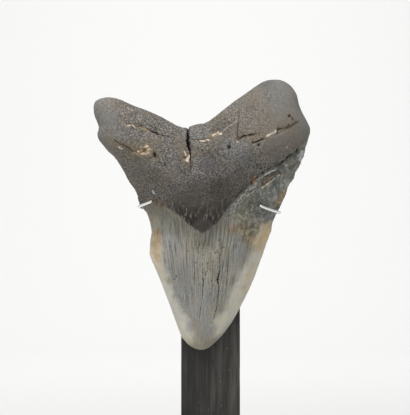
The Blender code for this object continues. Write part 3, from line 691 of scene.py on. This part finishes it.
def markSurface(places, zones, move):
    # pits, furrows and ridges, and the stains and washes that lie on them
    x, z = places[:, 0], places[:, 2]
    front = zones["front"]
    fray = uneven("fray", places)
    patchy = np.clip(0.95 + uneven("patchy", places), 0.4, 1.25)
    tints = {tint: np.zeros(len(x)) for tint in [*stainColours, *washColours]}
    for radius, depth, darkness, line in toothPits:
        far = nearestOnLine(line, x, z)[0] + 0.25 * radius * fray
        hole = fade("pitEdge", far / radius) * front
        move -= depth * hole
        tints["dark"] = np.maximum(tints["dark"], darkness * hole)
    for halfWidth, depth, line in toothRelief:
        far = nearestOnLine(line, x, z)[0] + 0.5 * min(halfWidth, 1.0) * fray
        move -= depth * np.exp(-np.clip(far / halfWidth, 0, 9) ** 2) * front
    for table, cover in ((toothStains, patchy), (toothWashes, 1.0)):
        for tint, marks in table.items():
            for halfWidth, strength, line in marks:
                far = nearestOnLine(line, x, z)[0] + 0.8 * min(halfWidth, 1.1) * fray
                share = strength * np.exp(-np.clip(far / halfWidth, 0, 9) ** 2) * front * cover
                tints[tint] = np.maximum(tints[tint], share)
    return tints


def makeTooth():
    look = toothLook
    tooth = copyOfNode("tooth", "fossil_tooth")
    applyModifier(tooth, "REMESH", {"mode": "VOXEL", "voxel_size": look["voxel"] * mm})
    applyModifier(tooth, "SMOOTH", {"factor": 0.5, "iterations": look["smoothing"]})
    thinBack(tooth)
    places, normals = readPoints(tooth)
    zones = toothZones(places, normals)
    move = fineRelief(places, zones)
    cutCracks(places, zones, move)
    tints = markSurface(places, zones, move)
    outward = normals * np.array([1.0, 0.0, 1.0])
    push = rimPush(places, normals)
    writePoints(tooth, places + normals * move[:, None] + outward * push[:, None])
    for name in zoneNames:
        writeField(tooth, name, zones[name])
    for tint, values in tints.items():
        writeField(tooth, tint, values)
    onlySelect(tooth)
    bpy.ops.object.shade_smooth()
    return tooth


fossilLook = {
    # tones from dark to light, each with the noise value at which it lies
    "rootTones": [(0.36, "#393633"), (0.47, "#67635e"), (0.62, "#928d86")],
    "enamelTones": [(0.37, "#75746d"), (0.50, "#918f87"), (0.64, "#aaa89e")],
    "pleatTones": [(0.38, "#46423e"), (0.60, "#b0ada6")],
    "bandTones": [(0.38, "#272422"), (0.56, "#413d39"), (0.68, "#857f76")],
    "apexTones": [(0.40, "#413d39"), (0.62, "#55514c")],
    # the lobes' lighter tone is partly a painted highlight where they face up
    "lobeWornAndLitTone": "#7f7c77", "lowRoot": "#67635e", "lowRootShade": "#8f8c88", "underBandShade": "#bbb9ac",
    "cream": "#c8c5b6", "hairline": "#45423b",
    # patches of tone: size in mm, the noise values between which they come in, strength and colour
    "rootPatches": [(11.11, 0.48, 0.62, 0.45, "#6f6354"), (14.29, 0.50, 0.36, 0.45, "#5f6263")],
    "enamelPatches": [(10.53, 0.47, 0.62, 0.5, "#938b78"), (16.67, 0.52, 0.38, 0.5, "#83888b")],
    "shoulderPatches": [(3.333, 0.47, 0.56, 0.75, "#555957"), (1.111, 0.52, 0.40, 0.85, "#555957"),
                        (2.0, 0.53, 0.62, 0.95, "#aaa89e")],
    "creamPatches": [(3.846, 0.42, 0.60, 0.7, "#c9bfa2"), (5.263, 0.55, 0.40, 0.5, "#b1b3ae")],
    # grain and lines: size across in mm, octaves, the coordinate of the mesh that runs across them and how
    # slowly they change upwards; pores, strands and streaks are finer on a real tooth, too fine to show
    "patterns": {
        "grain": (0.62, 3.0, None, 1.0), "worms": (1.613, 1.0, None, 1.0), "crumbs": (0.4348, 2.0, None, 1.0),
        "hairPatches": (7.692, 3.0, None, 1.0), "strands": (0.5, 3.0, "strand", 0.06),
        "streaks": (0.7692, 2.0, "strand", 0.18), "pleats": (0.6667, 2.0, "slant", 0.5),
    },
    "slowInwards": 0.3,      # how slowly the lines change into the depth
    "grainInRoot": 0.8, "wormsInRoot": 0.12,         # how far grain and wormlike marks lighten the root
    "strandShare": 0.55,     # of the enamel's tone, and the rest comes from the grain
    "hairSpacing": 1.176,    # mm between hairlines
    "hairSlowness": 0.03,    # how slowly they change upwards
    "hairEdge": (0.13, 0.03),        # of the spacing, from bare enamel to the middle of a hairline
    "hairFade": (0.36, 0.56),        # noise values between which hairlines come in
    "stainShare": 1.2, "stainCrumbs": 1.3,   # how a stain's strength and its crumbs count
    "stainFade": (-0.1, 0.45),       # from no stain to all of it
    "crackEdge": (1.3, 0.8),         # in half widths, from bare surface to the crack's own tone
    "crackFade": (0.0, 0.8), "crackGape": (0.6, 0.95),       # how dark a crack is, faint and brown or open
    # how strongly each zone's colour covers what is under it
    "cover": {"lobeEnds": 0.7, "lowRoot": 0.5, "shoulder": 0.85, "pleats": 0.85, "underBand": 0.75,
              "cream": 0.85, "apex": 0.85, "root": 1.0, "band": 1.0, "hair": 0.6, "stain": 0.9, "wash": 1.0},
    "roughness": (0.45, 0.85),       # of the enamel and of the root
    "specular": 0.3,
    "bump": 0.8, "bumpHeight": 0.4,  # mm
    "strandBump": 0.35,      # height of the enamel's lines beside the root's grain
}


def fossilMaterial():
    # phosphatised fossil: the root is porous, matt and grainy, the enamel a satin skin with lengthwise lines
    look, cover = fossilLook, fossilLook["cover"]
    material, tree = startMaterial("phosphatisedFossil")
    coords = addNode(tree, "TexCoord", {}).outputs["Object"]
    carried = {name: addNode(tree, "Attribute", {"attribute_name": name}).outputs["Fac"]
               for name in [*zoneNames, *stainColours, *washColours]}

    def covered(under, over, name, share, how="MIX"):      # a colour laid over another, as a zone says
        amount = addNode(tree, "Math", {"operation": "MULTIPLY", 0: carried[name], 1: share})
        return addNode(tree, "Mix", {"data_type": "RGBA", "blend_type": how, 0: amount, 6: under, 7: over})

    def patched(under, patches):     # patches of tone over a colour
        for size, low, high, share, tone in patches:
            patch = addNode(tree, "TexNoise", {
                "Vector": coords, "Scale": 1000 / size, "Detail": 3.0, "Roughness": 0.65})
            amount = addNode(tree, "MapRange", {"Value": patch, **between((low, high)), "To Max": share})
            under = addNode(tree, "Mix", {"data_type": "RGBA", 0: amount, 6: under, 7: tone})
        return under

    pattern = {}
    for name, (size, octaves, across, slowness) in look["patterns"].items():
        place = coords
        if across:
            place = addNode(tree, "VectorMath", {
                "operation": "MULTIPLY_ADD", 0: coords, 1: (0.0, look["slowInwards"], slowness),
                2: addNode(tree, "CombineXYZ", {"X": carried[across]})})
        pattern[name] = addNode(tree, "TexNoise", {
            "Vector": place, "Scale": 1000 / size, "Detail": octaves, "Roughness": 0.65})

    # root: dark pores between lighter grains, fainter and lighter where the lobes are worn smooth, the
    # lighter tone partly a painted highlight
    worms = addNode(tree, "Math", {"operation": "SUBTRACT", 0: pattern["worms"], 1: 0.5})
    worms = addNode(tree, "Math", {"operation": "ABSOLUTE", 0: worms})
    worms = addNode(tree, "Math", {"operation": "MINIMUM", 0: worms, 1: look["wormsInRoot"]})
    pores = addNode(tree, "Math", {
        "operation": "MULTIPLY_ADD", 0: pattern["grain"], 1: look["grainInRoot"], 2: worms})
    root = addNode(tree, "ValToRGB", {"Fac": pores, "ramp": look["rootTones"]})
    root = patched(root, look["rootPatches"])
    root = covered(root, look["lobeWornAndLitTone"], "lobeEnds", cover["lobeEnds"])
    # the lower bulge darkens, partly its own darker tone and partly painted shade where it turns down from
    # the light
    root = covered(root, look["lowRoot"], "lowRoot", cover["lowRoot"])
    root = covered(root, look["lowRootShade"], "lowRoot", cover["lowRoot"], "MULTIPLY")

    # enamel: fine lines along the strands, with hairline cracks between long narrow cells
    upwards = addNode(tree, "SeparateXYZ", {"Vector": coords}).outputs["Z"]
    upwards = addNode(tree, "Math", {"operation": "MULTIPLY", 0: upwards, 1: look["hairSlowness"]})
    cells = addNode(tree, "TexVoronoi", {
        "voronoi_dimensions": "2D", "feature": "DISTANCE_TO_EDGE", "Scale": 1000 / look["hairSpacing"],
        "Vector": addNode(tree, "CombineXYZ", {"X": carried["strand"], "Y": upwards})})
    hair = addNode(tree, "MapRange", {"Value": cells, **between(look["hairEdge"]), "To Max": cover["hair"]})
    inPatches = addNode(tree, "MapRange", {"Value": pattern["hairPatches"], **between(look["hairFade"])})
    hair = addNode(tree, "Math", {"operation": "MULTIPLY", 0: hair, 1: inPatches})
    hair = addNode(tree, "Math", {"operation": "MULTIPLY", 0: hair, 1: carried["lined"]})
    tone = addNode(tree, "Mix", {
        "data_type": "FLOAT", 0: look["strandShare"], 2: pattern["grain"], 3: pattern["strands"]})
    enamel = addNode(tree, "ValToRGB", {"Fac": tone, "ramp": look["enamelTones"]})
    enamel = patched(enamel, look["enamelPatches"])
    enamel = addNode(tree, "Mix", {"data_type": "RGBA", 0: hair, 6: enamel, 7: look["hairline"]})
    shoulder = patched(enamel, look["shoulderPatches"])
    enamel = covered(enamel, shoulder, "shoulder", cover["shoulder"])
    pleats = addNode(tree, "ValToRGB", {"Fac": pattern["pleats"], "ramp": look["pleatTones"]})
    enamel = covered(enamel, pleats, "pleats", cover["pleats"])
    enamel = covered(enamel, look["underBandShade"], "underBand", cover["underBand"], "MULTIPLY")
    enamel = covered(enamel, patched(look["cream"], look["creamPatches"]), "cream", cover["cream"])

    # dark band: short streaks, and its grainy lowest part
    band = addNode(tree, "ValToRGB", {"Fac": pattern["streaks"], "ramp": look["bandTones"]})
    apex = addNode(tree, "ValToRGB", {"Fac": pattern["grain"], "ramp": look["apexTones"]})
    band = covered(band, apex, "apex", cover["apex"])
    colour = covered(enamel, root, "root", cover["root"])
    colour = covered(colour, band, "band", cover["band"])

    # washes tint what is there, the grey one partly as painted shade, and stains break up into crumbs at
    # their edges
    for wash, tone in washColours.items():
        colour = covered(colour, tone, wash, cover["wash"], "MULTIPLY")
    crumbs = addNode(tree, "Math", {"operation": "MULTIPLY", 0: pattern["crumbs"], 1: -look["stainCrumbs"]})
    for stain, tone in stainColours.items():
        share = addNode(tree, "Math", {
            "operation": "MULTIPLY_ADD", 0: carried[stain], 1: look["stainShare"], 2: crumbs})
        share = addNode(tree, "MapRange", {
            "Value": share, **between(look["stainFade"]), "To Max": cover["stain"]})
        colour = addNode(tree, "Mix", {"data_type": "RGBA", 0: share, 6: colour, 7: tone})

    # cracks: brown where they are faint, black where they gape
    line = addNode(tree, "Math", {"operation": "ABSOLUTE", 0: carried["crackSide"]})
    line = addNode(tree, "MapRange", {"Value": line, **between(look["crackEdge"])})
    shown = addNode(tree, "MapRange", {"Value": carried["crack"], **between(look["crackFade"])})
    line = addNode(tree, "Math", {"operation": "MULTIPLY", 0: line, 1: shown})
    gape = addNode(tree, "MapRange", {"Value": carried["crack"], **between(look["crackGape"])})
    ink = addNode(tree, "Mix", {
        "data_type": "RGBA", 0: gape, 6: stainColours["brown"], 7: stainColours["dark"]})
    colour = addNode(tree, "Mix", {"data_type": "RGBA", 0: line, 6: colour, 7: ink})

    satin, matt = look["roughness"]
    rough = addNode(tree, "MapRange", {"Value": carried["root"], "To Min": satin, "To Max": matt})
    for hollow in (line, carried["dark"]):
        rough = addNode(tree, "Math", {"operation": "MAXIMUM", 0: rough, 1: hollow})
    height = addNode(tree, "Math", {"operation": "MULTIPLY", 0: pattern["strands"], 1: look["strandBump"]})
    height = addNode(tree, "Math", {
        "operation": "MULTIPLY_ADD", 0: pattern["grain"], 1: carried["root"], 2: height})
    bump = addNode(tree, "Bump", {
        "Height": height, "Strength": look["bump"], "Distance": look["bumpHeight"] * mm})
    return finishMaterial(material, {
        "Base Color": colour, "Roughness": rough, "Normal": bump, "Specular IOR Level": look["specular"]})


tooth = makeTooth()
tooth.data.materials.append(fossilMaterial())
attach(tooth, "root")
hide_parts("tooth")
print("tooth:", sum(len(face.vertices) - 2 for face in tooth.data.polygons), "triangles")

# prongs: drawn wire, white where the light catches it

prongLook = {
    "diameter": 1.3,         # mm
    "roundness": 5,          # resolution of the wire's section
    "samples": 8,            # points between two of the route
    "tailDepth": 8.0,        # mm of wire inside the post
    "endSteps": 5,
    "endReach": 0.8,         # of the radius that the filed end stands out
    "colour": "#f7f7f5",
    "scuffSize": 0.6667,     # mm, far coarser than real scuffs, which are too fine to show
    "scuffFade": (0.3, 0.7),         # noise values, from smooth to scuffed
    "roughness": (0.22, 0.42),
}
prongRoutes = {
    "left_prong": [(-13.5, -1.0, 126.0), (-17.0, -1.2, 126.0), (-23.0, -2.6, 126.1), (-28.0, -3.4, 126.5),
                   (-31.0, -4.2, 127.0), (-32.6, -5.9, 127.3), (-32.5, -8.2, 127.6), (-31.0, -10.7, 128.3),
                   (-29.0, -12.6, 129.0), (-27.0, -14.4, 129.8)],
    "right_prong": [(13.5, -1.0, 126.0), (17.0, -1.2, 126.0), (22.5, -2.5, 125.8), (27.0, -3.3, 125.4),
                    (29.8, -3.9, 125.0), (31.5, -5.3, 124.7), (31.2, -7.3, 124.9), (29.2, -9.4, 125.5),
                    (26.0, -12.4, 126.5), (22.6, -15.2, 127.8)],
}


def smoothRoute(points, samples):
    points = np.array(points, float)
    ends = np.vstack([2 * points[0] - points[1], points, 2 * points[-1] - points[-2]])
    steps = np.linspace(0, 1, samples, endpoint=False)[:, None]
    spans = [0.5 * (2 * b + (c - a) * steps + (2 * a - 5 * b + 4 * c - d) * steps ** 2
                    + (3 * b - a - 3 * c + d) * steps ** 3)
             for a, b, c, d in zip(ends, ends[1:], ends[2:], ends[3:])]
    return np.vstack([*spans, points[-1:]])


def makeProng(name, route):
    look = prongLook
    side = math.copysign(1, route[0][0])
    tail = np.array(route[0]) - (side * look["tailDepth"], 0, 0)
    line = np.vstack([tail, smoothRoute(route, look["samples"])])
    radius = look["diameter"] / 2
    forward = line[-1] - line[-2]
    forward /= np.linalg.norm(forward)
    # the snipped end is filed round
    turns = np.linspace(0, math.pi / 2, look["endSteps"] + 1)[1:]
    dome = [line[-1] + forward * radius * look["endReach"] * math.sin(t) for t in turns]
    radii = [1.0] * len(line) + [max(math.cos(t), 0.03) for t in turns]
    line = np.vstack([line, dome])
    bpy.ops.curve.primitive_bezier_curve_add()
    wire = bpy.context.object
    wire.name = name + "_wire"
    wire.matrix_world.identity()
    curve = wire.data
    curve.splines.clear()
    curve.dimensions = "3D"
    curve.bevel_depth = radius * mm
    curve.bevel_resolution = look["roundness"]
    curve.use_fill_caps = True
    spline = curve.splines.new("POLY")
    spline.points.add(len(line) - 1)
    for point, place, size in zip(spline.points, line, radii):
        point.co = (*(place * mm), 1.0)
        point.radius = size
    onlySelect(wire)
    bpy.ops.object.convert(target="MESH")
    bpy.ops.object.shade_smooth()
    return wire


def wireMaterial():
    # drawn stainless wire with scuffed roughness, so it is bright with a soft highlight
    look = prongLook
    material, tree = startMaterial("drawnSteelWire")
    coords = addNode(tree, "TexCoord", {}).outputs["Object"]
    scuffs = addNode(tree, "TexNoise", {"Vector": coords, "Scale": 1000 / look["scuffSize"], "Detail": 3.0})
    low, high = look["roughness"]
    rough = addNode(tree, "MapRange", {
        "Value": scuffs, **between(look["scuffFade"]), "To Min": low, "To Max": high})
    return finishMaterial(material, {"Base Color": look["colour"], "Metallic": 1.0, "Roughness": rough})


steel = wireMaterial()
for nodeName, route in prongRoutes.items():
    wire = makeProng(nodeName, route)
    wire.data.materials.append(steel)
    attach(wire, "root")
    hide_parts(nodeName)
print("prongs bent")

# post and foot: dark stained open-grained wood

woodLook = {
    "dark": "#100e0d", "mid": "#252321", "light": "#4a463f", "speck": "#57524a",
    "poreDepth": 0.20,       # mm, the deepest pores
    "poreSize": (0.9, 14.0),         # mm across and along the grain
    "cell": 0.45,            # mm between vertices across the grain
    "edge": 0.6,             # mm, eased edges of the post
    "footEdge": 1.5,
    "grainWidth": 1.4286,    # mm, coarser than real wood pores, which are too fine to show
    "bandWidth": 8.333,      # mm, broad light and dark bands
    "bandShare": 0.35,
    "grainLength": 0.06,     # how slowly both change along the grain
    "speckSize": 1.923,      # mm, dust that stands out on the dark wood
    "speckFade": (0.73, 0.78),       # noise values
    "roughness": 0.55, "bump": 0.5, "bumpHeight": 0.3,     # mm
}


def makeBlock(name, low, high, edge, cell):
    # a cube at its size, its edges eased, cut into a fine grid for the grain
    low, high = Vector(low), Vector(high)
    bpy.ops.mesh.primitive_cube_add(size=1, location=(low + high) / 2)
    block = bpy.context.object
    block.name = name
    block.scale = high - low
    onlySelect(block)
    bpy.ops.object.transform_apply(location=True, rotation=True, scale=True)
    bpy.ops.object.mode_set(mode="EDIT")
    bpy.ops.mesh.select_mode(type="EDGE")
    bpy.ops.mesh.select_all(action="SELECT")
    bpy.ops.mesh.bevel(offset=edge * mm, segments=3, affect="EDGES")
    for axis in range(3):
        bpy.ops.object.mode_set(mode="OBJECT")
        size = high[axis] - low[axis]
        verts = block.data.vertices
        for part in (verts, block.data.edges, block.data.polygons):
            part.foreach_set("select", [False] * len(part))
        for line in block.data.edges:
            a, b = (verts[v].co for v in line.vertices)
            line.select = abs(b[axis] - a[axis]) > size * 0.6
        bpy.ops.object.mode_set(mode="EDIT")
        bpy.ops.mesh.subdivide(number_cuts=int(size / mm / cell[axis]))
    bpy.ops.object.mode_set(mode="OBJECT")
    return block


def carveGrain(block, grainAxis):
    # open pores: short furrows along the grain
    places, normals = readPoints(block)
    across, along = woodLook["poreSize"]
    size = np.full(3, across)
    size[grainAxis] = along
    pores = np.clip(noiseAt(places, size, 13.0, 2) - 0.1, 0, 1)
    writePoints(block, places - normals * (woodLook["poreDepth"] * pores)[:, None])
    onlySelect(block)
    bpy.ops.object.shade_smooth_by_angle(angle=math.radians(40))


def woodMaterial(name, grainAxis):
    # ebonised open-grained wood, matt from the stain, with fine pores along the grain
    look = woodLook
    material, tree = startMaterial(name)
    coords = addNode(tree, "TexCoord", {}).outputs["Object"]
    stretch = [1.0, 1.0, 1.0]
    stretch[grainAxis] = look["grainLength"]
    drawnOut = addNode(tree, "Mapping", {"Vector": coords, "Scale": stretch})
    grain = addNode(tree, "TexNoise", {
        "Vector": drawnOut, "Scale": 1000 / look["grainWidth"], "Detail": 5.0, "Roughness": 0.65})
    broad = addNode(tree, "TexNoise", {
        "Vector": drawnOut, "Scale": 1000 / look["bandWidth"], "Detail": 2.0})
    tone = addNode(tree, "Mix", {"data_type": "FLOAT", 0: look["bandShare"], 2: grain, 3: broad})
    colour = addNode(tree, "ValToRGB", {"Fac": tone, "ramp": [
        (0.36, look["dark"]), (0.50, look["mid"]), (0.66, look["light"])]})
    specks = addNode(tree, "TexNoise", {"Vector": coords, "Scale": 1000 / look["speckSize"], "Detail": 1.0})
    share = addNode(tree, "MapRange", {"Value": specks, **between(look["speckFade"])})
    dusted = addNode(tree, "Mix", {"data_type": "RGBA", 0: share, 6: colour, 7: look["speck"]})
    bump = addNode(tree, "Bump", {
        "Height": grain, "Strength": look["bump"], "Distance": look["bumpHeight"] * mm})
    return finishMaterial(material, {"Base Color": dusted, "Roughness": look["roughness"], "Normal": bump})


footLow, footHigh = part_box("foot")
postLow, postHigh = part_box("post")
cell = woodLook["cell"]
post = makeBlock("wooden_post", (postLow.x, postLow.y, footHigh.z), postHigh, woodLook["edge"],
                 (cell, cell, cell * 3))
carveGrain(post, 2)
post.data.materials.append(woodMaterial("ebonisedPostWood", 2))
foot = makeBlock("wooden_foot", footLow, footHigh, woodLook["footEdge"], (cell * 3, cell * 1.3, cell * 1.3))
carveGrain(foot, 0)
foot.data.materials.append(woodMaterial("ebonisedFootWood", 0))
for block, nodeName in ((post, "post"), (foot, "foot")):
    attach(block, "root")
    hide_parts(nodeName)
print("post and foot:", len(post.data.polygons), len(foot.data.polygons), "faces")

# floor that sweeps up behind, and soft light

stageLook = {
    "width": 5.0, "front": -2.5, "sweepStart": 0.9, "sweepRadius": 0.8, "height": 2.6,   # metres
    "colour": "#dadad9",
    "roughness": 0.9,
    "skyStrength": 0.49,
    "lights": [              # name, place, aim, size in metres, watts
        ("topBox", (-0.25, -0.45, 1.05), (0.0, 0.0, 0.13), 0.8, 14.0),
        ("backdropLight", (0.0, 0.7, 1.0), (0.0, 1.65, 0.36), 0.8, 8.2),
    ],
}


def makeStage():
    look = stageLook
    depth = look["sweepStart"] - look["front"]
    arc = look["sweepRadius"] * math.pi / 2
    length = depth + arc + look["height"]
    bpy.ops.mesh.primitive_grid_add(x_subdivisions=2, y_subdivisions=160, size=1)
    floor = bpy.context.object
    floor.name = "sweep"
    for vertex in floor.data.vertices:
        x = vertex.co.x * look["width"]
        run = (vertex.co.y + 0.5) * length
        if run < depth:
            y, z = look["front"] + run, 0.0
        else:
            turn = min((run - depth) / look["sweepRadius"], math.pi / 2)
            y = look["sweepStart"] + look["sweepRadius"] * math.sin(turn)
            z = look["sweepRadius"] * (1 - math.cos(turn)) + max(0.0, run - depth - arc)
        vertex.co = (x, y, z)
    onlySelect(floor)
    bpy.ops.object.shade_smooth()
    paper, tree = startMaterial("paperSweep")    # matt background paper, one even tone
    floor.data.materials.append(
        finishMaterial(paper, {"Base Color": look["colour"], "Roughness": look["roughness"]}))


def makeLight():
    scene = bpy.context.scene
    scene.view_settings.view_transform = "Standard"
    for name, place, aim, size, watts in stageLook["lights"]:
        bpy.ops.object.light_add(type="AREA", location=place)
        lamp = bpy.context.object
        lamp.name = name
        lamp.data.shape = "SQUARE"
        lamp.data.size = size
        lamp.data.energy = watts
        lamp.rotation_euler = (Vector(aim) - Vector(place)).to_track_quat("-Z", "Y").to_euler()
    world = bpy.data.worlds.new("softSky")
    world.use_nodes = True
    background = world.node_tree.nodes["Background"]
    background.inputs["Color"].default_value = (1, 1, 1, 1)
    background.inputs["Strength"].default_value = stageLook["skyStrength"]
    scene.world = world


makeStage()
makeLight()
print("stage lit")
